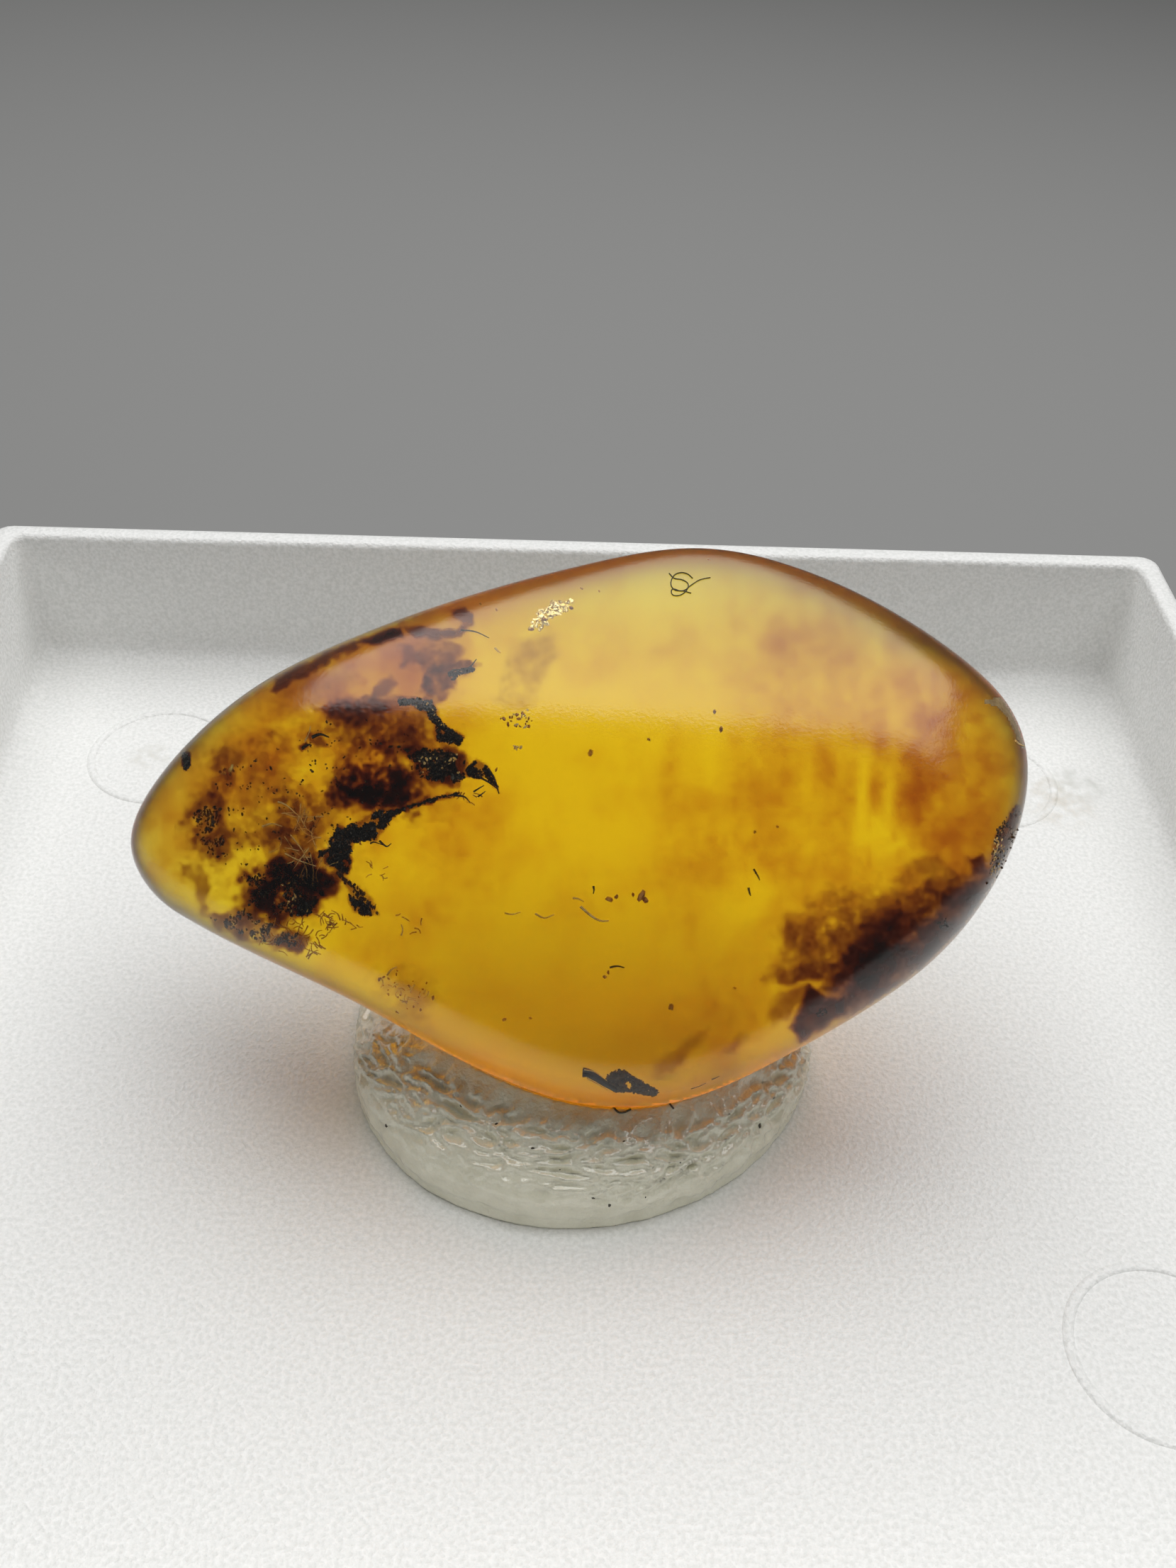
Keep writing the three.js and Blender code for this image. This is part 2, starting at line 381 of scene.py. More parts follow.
def make_putty():
    mesh = remeshed("mounting_putty", PUTTY_VOXEL * MM)
    low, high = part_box("mounting_putty")
    middle = (Vector(low) + Vector(high)) / 2
    radius = (high[0] - low[0]) / 2
    normals = [vertex.normal.copy() for vertex in mesh.vertices]
    for vertex, normal in zip(mesh.vertices, normals):
        place, out, _, distance = SURFACE.find_nearest(vertex.co)
        height = (vertex.co.z - low[2]) / MM
        lift = smoothstep(0, PUTTY_STILL, height)
        near = smoothstep(*PUTTY_REACH, distance / MM)
        off = vertex.co - middle
        around = math.atan2(off.x, -off.y) * radius
        share = WRINKLE_FAR + (1 - WRINKLE_FAR) * smoothstep(*WRINKLE_RING, distance / MM)
        wrinkle = wrinkle_at(vertex.co, around, distance) * WRINKLE_DEPTH * share
        lump = noise.noise(vertex.co / (LUMP_SIZE * MM)) * LUMP_HEIGHT
        moved = vertex.co + normal * (wrinkle * (1 - near) + lump) * lift * MM
        moved = moved.lerp(place + out * PUTTY_GAP * MM, near * lift)
        foot = PUTTY_FOOT * smoothstep(PUTTY_FOOT_TOP, 0, height) ** 2
        moved += Vector((normal.x, normal.y, 0)) * foot * MM
        moved.z -= min(height, PUTTY_FLAT) * MM * smoothstep(PUTTY_FOOT_TOP, PUTTY_FLAT, height)
        moved.z -= (moved.z - low[2]) * PUTTY_DIP * smoothstep(PUTTY_DIP_START, 0, vertex.co.y / MM)
        vertex.co = moved
    piece = add_piece("putty", mesh, putty_material())
    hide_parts("mounting_putty")
    return mesh


def ring_ridge(bm, x, y, z):
    """A low round-topped ring on the box's floor."""
    rows = []
    for step in range(MARK_STEPS):
        angle = math.tau * step / MARK_STEPS
        row = []
        for turn in range(MARK_SIDES):
            bend = math.tau * turn / MARK_SIDES
            radius = MARK_RADIUS + MARK_WIDTH / 2 * math.cos(bend)
            height = MARK_HEIGHT * math.sin(bend)
            place = Vector((x + radius * math.cos(angle), y + radius * math.sin(angle), z + height))
            row.append(bm.verts.new(place * MM))
        rows.append(row)
    for a, b in edges_of(rows):
        for turn in range(MARK_SIDES):
            after = (turn + 1) % MARK_SIDES
            bm.faces.new((a[turn], b[turn], b[after], a[after]))


def make_box():
    bm = cad_copy("specimen_box")
    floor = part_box("mounting_putty")[0][2] / MM
    for x, y in MARK_PLACES:
        ring_ridge(bm, x, y, floor)
    mesh = bpy.data.meshes.new("box")
    bm.to_mesh(mesh)
    bm.free()
    piece = add_piece("box", mesh, box_material())
    mesh.set_sharp_from_angle(angle=math.radians(50))
    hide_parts("specimen_box")


def make_stage():
    mesh = bpy.data.meshes.new("floor")
    signs = [(-1, -1), (1, -1), (1, 1), (-1, 1)]
    mesh.from_pydata([(x * FLOOR_HALF, y * FLOOR_HALF, 0) for x, y in signs], [], [(0, 1, 2, 3)])
    mesh.materials.append(Nodes("floor", Base_Color=FLOOR_COLOR, Roughness=0.7).material)
    floor = bpy.data.objects.new("floor", mesh)
    scene.collection.objects.link(floor)

    world = bpy.data.worlds.new("world")
    world.use_nodes = True
    background = world.node_tree.nodes["Background"]
    background.inputs["Color"].default_value = (1, 1, 1, 1)
    background.inputs["Strength"].default_value = WORLD_LIGHT
    scene.world = world

    data = bpy.data.lights.new("softbox", "AREA")
    data.shape = "RECTANGLE"
    data.size, data.size_y = LAMP_SIZE
    data.energy = LAMP_ENERGY
    lamp = bpy.data.objects.new("softbox", data)
    lamp.location = LAMP_AT
    lamp.rotation_euler = (LAMP_AIM - LAMP_AT).to_track_quat("-Z", "Y").to_euler()
    scene.collection.objects.link(lamp)

    scene.view_settings.view_transform = "Standard"
    scene.cycles.max_bounces = 16
    scene.cycles.glossy_bounces = 4
    scene.cycles.caustics_reflective = False
    scene.cycles.transmission_bounces = 14


# Inclusions. Places are pixels of the photograph; depths are millimetres under the nugget's surface.
rng = random.Random(11)
PATCH = 16  # pixels across a patch of grains
PATCH_EDGE = (0.6, 1.2)  # makes the patches' edges uneven
TRIES = 60  # for each grain that is wanted
GRAIN_WIDTH, GRAIN_HEIGHT, GRAIN_FLAT = (0.6, 1), (0.5, 0.9), 0.25  # shares of a grain's size
GRAIN_CORNERS = (0.65, 1.3)  # how far a grain's corners stand out
GRAIN_STRETCHES = (1.0, 1.2, 1.8)
DEEPEST_GRAIN, DEEPEST_PATH = 0.85, 0.9  # shares of the way through the nugget
SHALLOW = 0.1  # layers leave out the nugget's rim, where it is thinner than this
RIM_FADE = 1.6  # they thin out where it is thinner than this
LAYER_LEAST = 0.005  # thinner layers are left out
LAYER_MOST = 0.4  # half of a layer takes at most this share of the way through the nugget
LAYER_COVER = 0.03  # resin before and behind a layer
# Noise of the clouds and the dark ones' edges: sizes in pixels, strengths.
UNEVEN = [(55, 1), (22, 0.7), (9, 0.6), (5, 0.4)]
DRIFT = [(24, 1), (9, 0.6)]
WIDE = 130  # the orange clouds' widest noise
ORANGE_SEED, WIDE_SEED, DARK_SEED = 50, 9, 7
EDGE_SOFT = 0.6  # share of a soft edge on either side of its outline
BLOB_REACH = 3  # half-widths, where a blob ends


def surface_of(mesh):
    return BVHTree.FromPolygons([v.co for v in mesh.vertices], [p.vertices for p in mesh.polygons])


def sight(x, y):
    """Where a pixel's ray enters the nugget, its bent way inside, the normal, and how far it runs."""
    ray = pixel_direction(x, y).normalized()
    place, normal, _, _ = SURFACE.ray_cast(CAMERA_AT, ray)
    if place is None:
        return None
    cosine = -ray.dot(normal)
    share = 1 / AMBER_IOR
    bent = ray * share + normal * (share * cosine - math.sqrt(1 - share**2 * (1 - cosine**2)))
    _, _, _, reach = SURFACE.ray_cast(place + bent * TINY * MM, bent)
    return place, bent, normal, reach or SHALLOW * MM


def under_pixel(x, y, depth):
    """The point seen at a pixel, at a depth under the surface, or None beside the nugget."""
    seen = sight(x, y)
    if seen is None:
        return None
    place, bent, _, reach = seen
    return place + bent * min(depth * MM, DEEPEST_PATH * reach)


def edges_of(ring):
    """The pairs of neighbours round a ring."""
    return zip(ring, ring[1:] + ring[:1])


def inside(polygon, x, y):
    within = False
    for (ax, ay), (bx, by) in edges_of(polygon):
        if (ay > y) != (by > y) and x < ax + (y - ay) / (by - ay) * (bx - ax):
            within = not within
    return within


def near_polygon(polygon, x, y, margin):
    """Whether a pixel is within a margin of the polygon's bounding box."""
    xs, ys = zip(*polygon)
    return min(xs) - margin < x < max(xs) + margin and min(ys) - margin < y < max(ys) + margin


def edge_distance(polygon, x, y):
    point = Vector((x, y))
    nearest = math.inf
    for a, b in edges_of(polygon):
        a, b = Vector(a), Vector(b)
        share = (point - a).dot(b - a) / (b - a).length_squared
        nearest = min(nearest, (a.lerp(b, min(max(share, 0), 1)) - point).length)
    return nearest


def scatter(polygon, count, soft, patchy):
    """Random places in a polygon, thinner over a soft edge and, from 0 to 1, gathered in patches."""
    xs, ys = zip(*polygon)
    places = []
    for _ in range(TRIES * count):
        x, y = rng.uniform(min(xs), max(xs)), rng.uniform(min(ys), max(ys))
        chance = rng.random()
        if not inside(polygon, x, y) or edge_distance(polygon, x, y) < soft * chance:
            continue
        if 0.5 + noise.noise(Vector((x / PATCH, y / PATCH, 0))) < patchy * rng.uniform(*PATCH_EDGE):
            continue
        places.append((x, y))
        if len(places) == count:
            break
    return places


def ball():
    bm = bmesh.new()
    bmesh.ops.create_icosphere(bm, subdivisions=1, radius=1)
    bm.verts.index_update()
    points = [v.co.copy() for v in bm.verts]
    faces = [[v.index for v in f.verts] for f in bm.faces]
    bm.free()
    return points, faces


BALL = ball()


class Heap:
    """Many small closed bodies gathered in one mesh."""

    def __init__(self):
        self.points, self.faces = [], []

    def add(self, points, faces):
        start = len(self.points)
        self.points += points
        self.faces += [[start + i for i in face] for face in faces]

    def grain(self, centre, size, stretch, flat=None):
        """An angular grain of a size in pixels. A flat one lies along a normal."""
        points, faces = BALL
        turn = Euler([rng.uniform(0, math.tau) for _ in range(3)]).to_matrix()
        axes = Vector((stretch, rng.uniform(*GRAIN_WIDTH), rng.uniform(*GRAIN_HEIGHT)))
        if flat is not None:
            spin = Matrix.Rotation(rng.uniform(0, math.tau), 3, "Z")
            turn = flat.to_track_quat("Z", "Y").to_matrix() @ spin
            axes.z = GRAIN_FLAT
        half = size / 2 * PIXEL
        corners = [p * axes * half * rng.uniform(*GRAIN_CORNERS) for p in points]
        self.add([centre + turn @ corner for corner in corners], faces)

    def thread(self, places, thick, thin, sides=6):
        """A round thread through points in space, from one thickness to another, in pixels."""
        across = (places[1] - places[0]).orthogonal().normalized()
        points, faces = [places[0]], []
        for i, place in enumerate(places):
            along = (places[min(i + 1, len(places) - 1)] - places[max(i - 1, 0)]).normalized()
            across = (across - along * across.dot(along)).normalized()
            side = along.cross(across)
            radius = (thick + (thin - thick) * i / (len(places) - 1)) / 2 * PIXEL
            for step in range(sides):
                angle = math.tau * step / sides
                points.append(place + (across * math.cos(angle) + side * math.sin(angle)) * radius)
        points.append(places[-1])
        rows = [range(1 + i * sides, 1 + (i + 1) * sides) for i in range(len(places))]
        for step in range(sides):
            after = (step + 1) % sides
            faces.append((0, rows[0][after], rows[0][step]))
            faces.append((len(points) - 1, rows[-1][step], rows[-1][after]))
            for a, b in zip(rows, rows[1:]):
                faces.append((a[step], a[after], b[after], b[step]))
        self.add(points, faces)

    def piece(self, name, material, smooth=False, slot="amber"):
        mesh = bpy.data.meshes.new(name)
        mesh.from_pydata(self.points, [], self.faces)
        bm = bmesh.new()
        bm.from_mesh(mesh)
        bmesh.ops.recalc_face_normals(bm, faces=bm.faces)
        bm.to_mesh(mesh)
        bm.free()
        add_piece(name, mesh, material, smooth)


def curve_points(corners, steps=6):
    """Points on a smooth curve through corners."""
    corners = [Vector(c) for c in corners]
    ends = [2 * corners[0] - corners[1], *corners, 2 * corners[-1] - corners[-2]]
    points = []
    for a, b, c, d in zip(ends, ends[1:], ends[2:], ends[3:]):
        for step in range(steps):
            t = step / steps
            bend = (2 * a - 5 * b + 4 * c - d) * t**2 + (3 * b - a - 3 * c + d) * t**3
            points.append(b + 0.5 * ((c - a) * t + bend))
    return points + [corners[-1]]


def under_path(path, depth):
    """Points in space under a smooth path of pixels."""
    found = [under_pixel(x, y, depth) for x, y in curve_points(path)]
    return [point for point in found if point is not None]


def cloud_layer(area, depth_at, thickness_at):
    """A closed layer in the resin under an area of pixels. It is left out where it has no thickness."""
    left, top, right, bottom, step = area
    front, back, index, filled = [], [], {}, set()
    for y in range(top, bottom + 1, step):
        for x in range(left, right + 1, step):
            seen = sight(x, y)
            if seen is None or seen[3] < SHALLOW * MM:
                continue
            start, bent, _, reach = seen
            thickness = thickness_at(x, y)
            if thickness > LAYER_LEAST:
                filled.add((x, y))
            half = max(thickness, 0) / 2 * MM * smoothstep(SHALLOW * MM, RIM_FADE * MM, reach)
            half = min(half + TINY * MM, LAYER_MOST * reach)
            margin = half + LAYER_COVER * MM
            deep = min(max(depth_at(reach / MM) * MM, margin), reach - margin)
            index[x, y] = len(front)
            front.append(start + bent * (deep - half))
            back.append(start + bent * (deep + half))
    count = len(front)
    faces, edges = [], {}
    for x, y in index:
        corners = [(x, y), (x, y + step), (x + step, y + step), (x + step, y)]
        if not all(corner in index for corner in corners) or not filled.intersection(corners):
            continue
        ring = [index[corner] for corner in corners]
        faces.append(ring)
        faces.append([count + i for i in reversed(ring)])
        for edge in edges_of(ring):
            edges[edge] = True
    for a, b in edges:
        if (b, a) not in edges:
            faces.append([b, a, count + a, count + b])
    return front + back, faces


def unevenness(x, y, seed):
    """Uneven noise of about -1 to 1 over the photograph."""
    place = Vector((x, y, seed))
    return sum(strength * noise.noise(place / size) for size, strength in UNEVEN)


def blob_thickness(blobs, x, y):
    """Sum of soft round blobs: middle, two half-widths in pixels, tilt in degrees, thickness."""
    thickness = 0
    for cx, cy, rx, ry, tilt, amount in blobs:
        dx, dy = x - cx, y - cy
        if abs(dx) + abs(dy) > BLOB_REACH * (rx + ry):
            continue
        cosine, sine = math.cos(math.radians(tilt)), math.sin(math.radians(tilt))
        along, across = (dx * cosine + dy * sine) / rx, (dy * cosine - dx * sine) / ry
        thickness += amount * math.exp(-(along**2) - across**2)
    return thickness


def orange_depth(reach):
    return min(ORANGE_DEPTH, ORANGE_DEPTH_SHARE * reach)


def orange_thickness(x, y):
    thickness = ORANGE_LEAST + blob_thickness(ORANGE_CLOUDS, x, y)
    uneven = unevenness(x, y, ORANGE_SEED) + noise.noise(Vector((x, y, WIDE_SEED)) / WIDE)
    patchy = max(thickness * (1 + ORANGE_CONTRAST * uneven), ORANGE_FLOOR)
    return patchy + ORANGE_MOTTLE * max(uneven, 0)


def chip_thickness(x, y):
    return CHIP_THICK if inside(CHIP, x, y) else 0


def dark_thickness(x, y):
    place = Vector((x, y, 0))
    drift = sum((strength * noise.noise_vector(place / size) for size, strength in DRIFT), Vector())
    uneven = unevenness(x, y, DARK_SEED)
    thickness = 0
    for polygon, amount, soft, ragged, contrast in DARK_PATCHES:
        if not near_polygon(polygon, x, y, ragged + soft):
            continue
        wx, wy = x + ragged * drift.x, y + ragged * drift.y
        depth = edge_distance(polygon, wx, wy)
        if not inside(polygon, wx, wy):
            depth = -depth
        share = smoothstep(-EDGE_SOFT * soft, EDGE_SOFT * soft, depth)
        thickness += amount * share * max(1 + contrast * uneven, 0)
    return thickness


# Outlines of debris, in pixels.
CREST = [
    (558, 986), (600, 984), (613, 993), (621, 1016), (641, 1032), (657, 1040), (648, 1051), (632, 1049),
    (617, 1045), (613, 1022), (600, 1006), (581, 995), (563, 995),
]
BLOCK = [
    (552, 1049), (568, 1054), (597, 1054), (625, 1057), (651, 1062), (657, 1070), (654, 1086),
    (660, 1096), (645, 1105), (629, 1105), (609, 1105), (594, 1096), (584, 1076), (571, 1064),
]
FINGER = [
    (654, 1086), (670, 1072), (686, 1080), (692, 1092), (702, 1108), (705, 1118), (699, 1111),
    (683, 1096), (673, 1099), (660, 1096),
]
RAGGED_LINE = [
    (660, 1131), (645, 1121), (622, 1129), (600, 1134), (581, 1140), (565, 1147), (552, 1156),
    (543, 1172), (530, 1185), (511, 1188), (498, 1190), (485, 1172), (491, 1163), (511, 1156),
    (527, 1147), (536, 1143), (555, 1142), (581, 1135), (603, 1127), (625, 1121), (645, 1118),
]
LOWER_BLOCK = [
    (466, 1182), (476, 1164), (488, 1169), (501, 1188), (495, 1201), (495, 1217), (491, 1233),
    (479, 1229), (466, 1220), (450, 1210), (447, 1201), (463, 1198),
]
LOWER_CLOUD = [
    (342, 1229), (364, 1233), (383, 1217), (409, 1214), (434, 1217), (453, 1229), (469, 1242),
    (469, 1258), (453, 1268), (437, 1277), (434, 1290), (415, 1296), (396, 1290), (380, 1296),
    (364, 1290), (342, 1274), (348, 1255),
]
LOWER_PATCH = [
    (491, 1261), (504, 1268), (520, 1277), (527, 1290), (517, 1293), (501, 1287), (495, 1274),
]
EDGE_BLOCK = [(420, 1276), (447, 1270), (438, 1290), (420, 1293)]
LEFT_SPOT = [(257, 1062), (267, 1062), (269, 1080), (262, 1087), (257, 1078)]
TAIL = [
    (469, 1229), (485, 1245), (495, 1261), (517, 1277), (533, 1290), (527, 1274), (511, 1255),
    (491, 1242), (482, 1229),
]
NEST = [(524, 1376), (560, 1364), (600, 1380), (620, 1412), (600, 1436), (562, 1428), (532, 1404)]
# Grains: polygon, number, size range and soft edge in pixels, patchiness, depth range.
BLACK_GRAINS = [
    (CREST, 700, (2, 6), 4, 0.2, (0.06, 0.2)),
    (BLOCK, 800, (2, 6), 10, 0.45, (0.08, 0.25)),
    (FINGER, 280, (2, 5), 3, 0.25, (0.06, 0.2)),
    (RAGGED_LINE, 760, (2, 6), 4, 0.35, (0.06, 0.2)),
    (LOWER_BLOCK, 700, (2, 6), 4, 0.2, (0.06, 0.2)),
    (LOWER_CLOUD, 420, (2, 5), 14, 0.55, (0.08, 0.25)),
    (LOWER_PATCH, 220, (2, 5), 3, 0.15, (0.06, 0.2)),
    (EDGE_BLOCK, 110, (3, 7), 2, 0.0, (0.06, 0.2)),
    (LEFT_SPOT, 70, (3, 6), 1, 0.0, (0.05, 0.15)),
    ([(632, 950), (650, 944), (672, 941), (668, 948), (650, 952),
      (640, 960)], 90, (3, 6), 2, 0.1, (0.05, 0.15)),
    ([(1318, 1296), (1336, 1294), (1340, 1308), (1326, 1312)], 30, (2, 5), 3, 0.0, (0.02, 0.06)),
    ([(1150, 1424), (1166, 1420), (1166, 1434), (1152, 1438)], 24, (2, 5), 3, 0.0, (0.02, 0.06)),
]
BROWN_GRAINS = [
    ([(300, 1090), (420, 1020), (560, 1010), (620, 1060), (560, 1140), (480, 1180), (420, 1260),
      (340, 1290), (290, 1220)], 220, (2, 4), 20, 0.8, (0.05, 0.3)),
    # brown grains just beside the grub and deeper in: a painted reflection, a dark copy where the
    # grub's mirrored image shows
    ([(856, 1518), (864, 1512), (881, 1510), (895, 1520), (909, 1529), (928, 1537), (926, 1546),
      (912, 1546), (895, 1541), (881, 1540), (866, 1541),
      (858, 1532)], 520, (4, 7), 1, 0.0, (0.12, 0.2)),
    (CREST, 60, (2, 5), 4, 0.3, (0.04, 0.1)),
    (BLOCK, 130, (2, 5), 8, 0.4, (0.04, 0.15)),
    (LOWER_BLOCK, 60, (2, 5), 4, 0.3, (0.04, 0.1)),
    (LOWER_CLOUD, 120, (2, 5), 10, 0.4, (0.04, 0.15)),
    ([(294, 1293), (319, 1290), (342, 1281), (364, 1296), (389, 1300), (383, 1316), (409, 1312),
      (434, 1322), (421, 1338), (389, 1335), (364, 1328), (335, 1322),
      (313, 1309)], 200, (2, 6), 6, 0.5, (0.08, 0.3)),
    ([(268, 1143), (294, 1131), (313, 1137), (310, 1163), (322, 1185), (322, 1204), (310, 1214),
      (291, 1204), (278, 1185)], 160, (2, 5), 8, 0.5, (0.1, 0.4)),
    (TAIL, 120, (2, 6), 3, 0.3, (0.08, 0.3)),
    ([(1404, 1172), (1420, 1150), (1440, 1138), (1446, 1152), (1431, 1192), (1416, 1228), (1404, 1250),
      (1390, 1246), (1398, 1212)], 260, (2, 5), 4, 0.35, (0.0, 0.1)),
]
PALE_GRAINS = [
    ([(1402, 1180), (1412, 1168), (1420, 1200), (1408, 1236),
      (1396, 1240)], 60, (2, 5), 2, 0.0, (-0.03, 0.02)),
    ([(560, 986), (600, 986), (654, 1044), (630, 1046), (610, 1010)], 16, (2, 4), 2, 0.0, (0.04, 0.1)),
    ([(582, 1062), (648, 1060), (650, 1096), (600, 1100)], 26, (2, 4), 2, 0.0, (0.04, 0.1)),
    ([(400, 1225), (450, 1235), (436, 1286), (380, 1288)], 22, (2, 4), 2, 0.0, (0.05, 0.12)),
    ([(718, 1008), (746, 1000), (764, 1016), (748, 1028),
      (724, 1024)], 7, (3, 5), 2, 0.0, (0.03, 0.06)),
    ([(718, 1052), (724, 1042), (738, 1050), (732, 1062)], 5, (3, 5), 1, 0.0, (0.03, 0.06)),
    ([(306, 1086), (330, 1082), (332, 1092), (310, 1094)], 10, (3, 7), 1, 0.0, (0.2, 0.4)),
]
GOLD_GRAINS = [
    ([(745, 885), (760, 860), (785, 848), (810, 844), (800, 862), (775, 880),
      (756, 892)], 90, (4, 11), 6, 0.0, (0.08, 0.2)),
]
ORANGE_GRAINS = [
    (NEST, 24, (2, 5), 10, 0.3, (0.05, 0.2)),
    ([(700, 1010), (746, 998), (766, 1016), (748, 1030), (716, 1026)], 22, (3, 6), 2, 0.0, (0.06, 0.2)),
]
# Single flecks: place, size in pixels, depth.
FLECKS = [
    ((833, 1063), 10, 0.5), ((1008, 1004), 6, 0.15), ((1017, 1029), 7, 0.3), ((915, 1043), 5, 0.4),
    ((1097, 1166), 5, 0.6), ((1065, 1173), 5, 0.6), ((947, 1421), 9, 0.5), ((904, 1264), 13, 0.15),
    ((910, 1270), 10, 0.2), ((893, 1262), 7, 0.2), ((860, 1269), 11, 0.2), ((870, 1265), 8, 0.2),
    ((853, 1378), 7, 0.15), ((858, 1372), 5, 0.15), ((767, 873), 9, 0.1), ((750, 888), 8, 0.1),
    ((806, 858), 9, 0.15), ((700, 1086), 7, 0.12), ((712, 1438), 6, 0.3), ((748, 1436), 5, 0.4),
    ((560, 1428), 8, 0.1), ((1036, 1394), 5, 0.6), ((508, 1190), 6, 0.1), ((678, 852), 5, 0.1),
    ((700, 860), 5, 0.1), ((820, 830), 5, 0.2), ((845, 834), 4, 0.2), ((1000, 790), 4, 0.1),
]
FLECK_SCALE, FLECK_STRETCH = 0.9, 1.5
# Threads: path, thicknesses in pixels, depth.
DARK_THREADS = [
    ([(688, 1084), (697, 1098), (704, 1120)], 4, 1.5, 0.1),
    ([(676, 1096), (690, 1104), (702, 1113)], 3, 1.5, 0.12),
    ([(668, 1117), (676, 1112), (683, 1108)], 2.5, 1, 0.1),
    ([(674, 1124), (680, 1120), (685, 1116)], 2.5, 1, 0.1),
    ([(640, 1122), (655, 1124), (663, 1132)], 3, 1.2, 0.1),
    ([(650, 889), (670, 891), (690, 900)], 3, 1.2, 0.1),
    ([(650, 944), (662, 942), (672, 930)], 4, 1.5, 0.1),
    ([(632, 950), (642, 945), (655, 946)], 4, 2, 0.08),
    ([(535, 1186), (545, 1194), (552, 1190)], 3, 1.2, 0.1),
    ([(522, 1190), (528, 1188), (540, 1192)], 2.5, 1, 0.1),
    ([(975, 1536), (985, 1533), (996, 1528)], 3, 1.5, 0.05),
    ([(1004, 1523), (1009, 1521), (1015, 1518)], 3.5, 1.5, 0.05),
    ([(1063, 1226), (1068, 1234), (1072, 1242)], 3, 1.5, 0.4),
    ([(1056, 1252), (1057, 1258), (1059, 1264)], 3, 1.5, 0.4),
    ([(860, 1365), (870, 1363), (881, 1365)], 3, 1.5, 0.15),
    ([(837, 1250), (838, 1255), (837, 1261)], 3, 1.2, 0.15),
    ([(426, 1056), (432, 1052), (438, 1050)], 5, 2, 0.15),
    ([(440, 1040), (452, 1036), (464, 1040)], 5, 2, 0.2),
]
PALE_THREADS = [
    ([(824, 1509), (838, 1512), (850, 1520)], 2, 1, 0.02),
    ([(828, 1521), (844, 1530), (858, 1538)], 2, 1, 0.02),
    ([(808, 1267), (816, 1268), (824, 1272)], 2.5, 1, 0.1),
    ([(819, 1279), (834, 1292), (847, 1299), (859, 1299)], 3.5, 1.5, 0.06),
    ([(755, 1289), (768, 1295), (782, 1290)], 2.5, 1, 0.08),
    ([(712, 1288), (722, 1290), (734, 1287)], 2, 1, 0.1),
    ([(392, 1131), (404, 1136), (420, 1150)], 2.5, 1, 0.06),
    ([(430, 1046), (436, 1034), (438, 1024)], 2, 1, 0.06),
    ([(370, 1166), (384, 1162), (398, 1166)], 2.5, 1, 0.06),
    ([(402, 1204), (422, 1214), (446, 1222)], 2, 1, 0.05),
    ([(410, 1178), (424, 1196), (436, 1216)], 1.8, 0.8, 0.05),
    ([(436, 1196), (424, 1212), (414, 1226)], 1.8, 0.8, 0.05),
    ([(698, 914), (702, 918), (706, 921)], 3, 1.5, 0.08),
    ([(566, 1320), (568, 1312), (566, 1304)], 2, 1, 0.1),
    ([(1432, 1045), (1438, 1050), (1446, 1053)], 4, 1, 0.0),
    ([(546, 1376), (552, 1368), (560, 1364)], 2.5, 1, 0.06),
]
# Regions with many short needles: polygon, number, length range in pixels, thickness, depth range.
NEEDLES = [
    ([(380, 1300), (440, 1296), (488, 1284), (484, 1310), (452, 1336), (440, 1356), (400, 1346),
      (366, 1330)], 64, (7, 20), 2.0, (0.06, 0.2)),
    ([(440, 1284), (520, 1300), (510, 1312), (470, 1308)], 14, (6, 14), 1.8, (0.06, 0.2)),
    ([(560, 1286), (600, 1300), (596, 1330), (566, 1324)], 5, (8, 14), 2.0, (0.06, 0.2)),
    ([(640, 1120), (690, 1110), (700, 1128), (660, 1136)], 6, (6, 14), 2.0, (0.06, 0.2)),
    ([(520, 1215), (550, 1225), (545, 1240), (520, 1238)], 8, (5, 12), 1.4, (0.06, 0.15)),
]
FIBRES = [
    ([(384, 1140), (440, 1150), (468, 1220), (440, 1240), (400, 1225),
      (384, 1180)], 26, (18, 46), 1.3, (0.05, 0.15)),
    ([(530, 1380), (590, 1378), (612, 1410), (590, 1428), (545, 1412)], 18, (6, 14), 1.6, (0.05, 0.15)),
]
NEEDLE_SAG = 0.5  # share of half its length
NEEDLE_TAPER = 0.5
NEEDLE_SIDES = 5
# The grub-like sliver at the lower edge.
GRUB = [(822, 1513), (830, 1514), (842, 1521), (854, 1529), (868, 1537)]
GRUB_DEPTH = 0.12
GRUB_THICK = (14, 9)
GRUB_SIDES = 10
# A curled lint fibre lying on the nugget.
LINT = [
    [(944, 809), (951, 816), (962, 818), (970, 823), (970, 830), (961, 834), (950, 831), (947, 835),
     (950, 840), (959, 840), (967, 835), (971, 829), (979, 823), (988, 818), (1002, 815)],
    [(977, 816), (970, 810), (961, 808), (952, 811), (947, 819), (947, 827), (953, 833), (964, 834),
     (975, 837)],
]
LINT_THICK = 1.7
# Specks of dirt on the putty, and two hairs: places, and sizes or thickness in pixels.
PUTTY_SPECKS = [
    ((752, 1620), 5), ((700, 1585), 5), ((545, 1588), 5), ((837, 1690), 6), ((860, 1700), 5),
    ((910, 1690), 5), ((1072, 1588), 7), ((650, 1560), 4), ((790, 1650), 4), ((960, 1640), 4),
    ((600, 1520), 4), ((880, 1610), 4),
]
SPECK_STRETCH = 1.2
PUTTY_HAIRS = [
    ([(865, 1562), (872, 1569), (881, 1569), (890, 1565)], 3),
    ([(938, 1551), (944, 1557), (950, 1564)], 2.5),
]

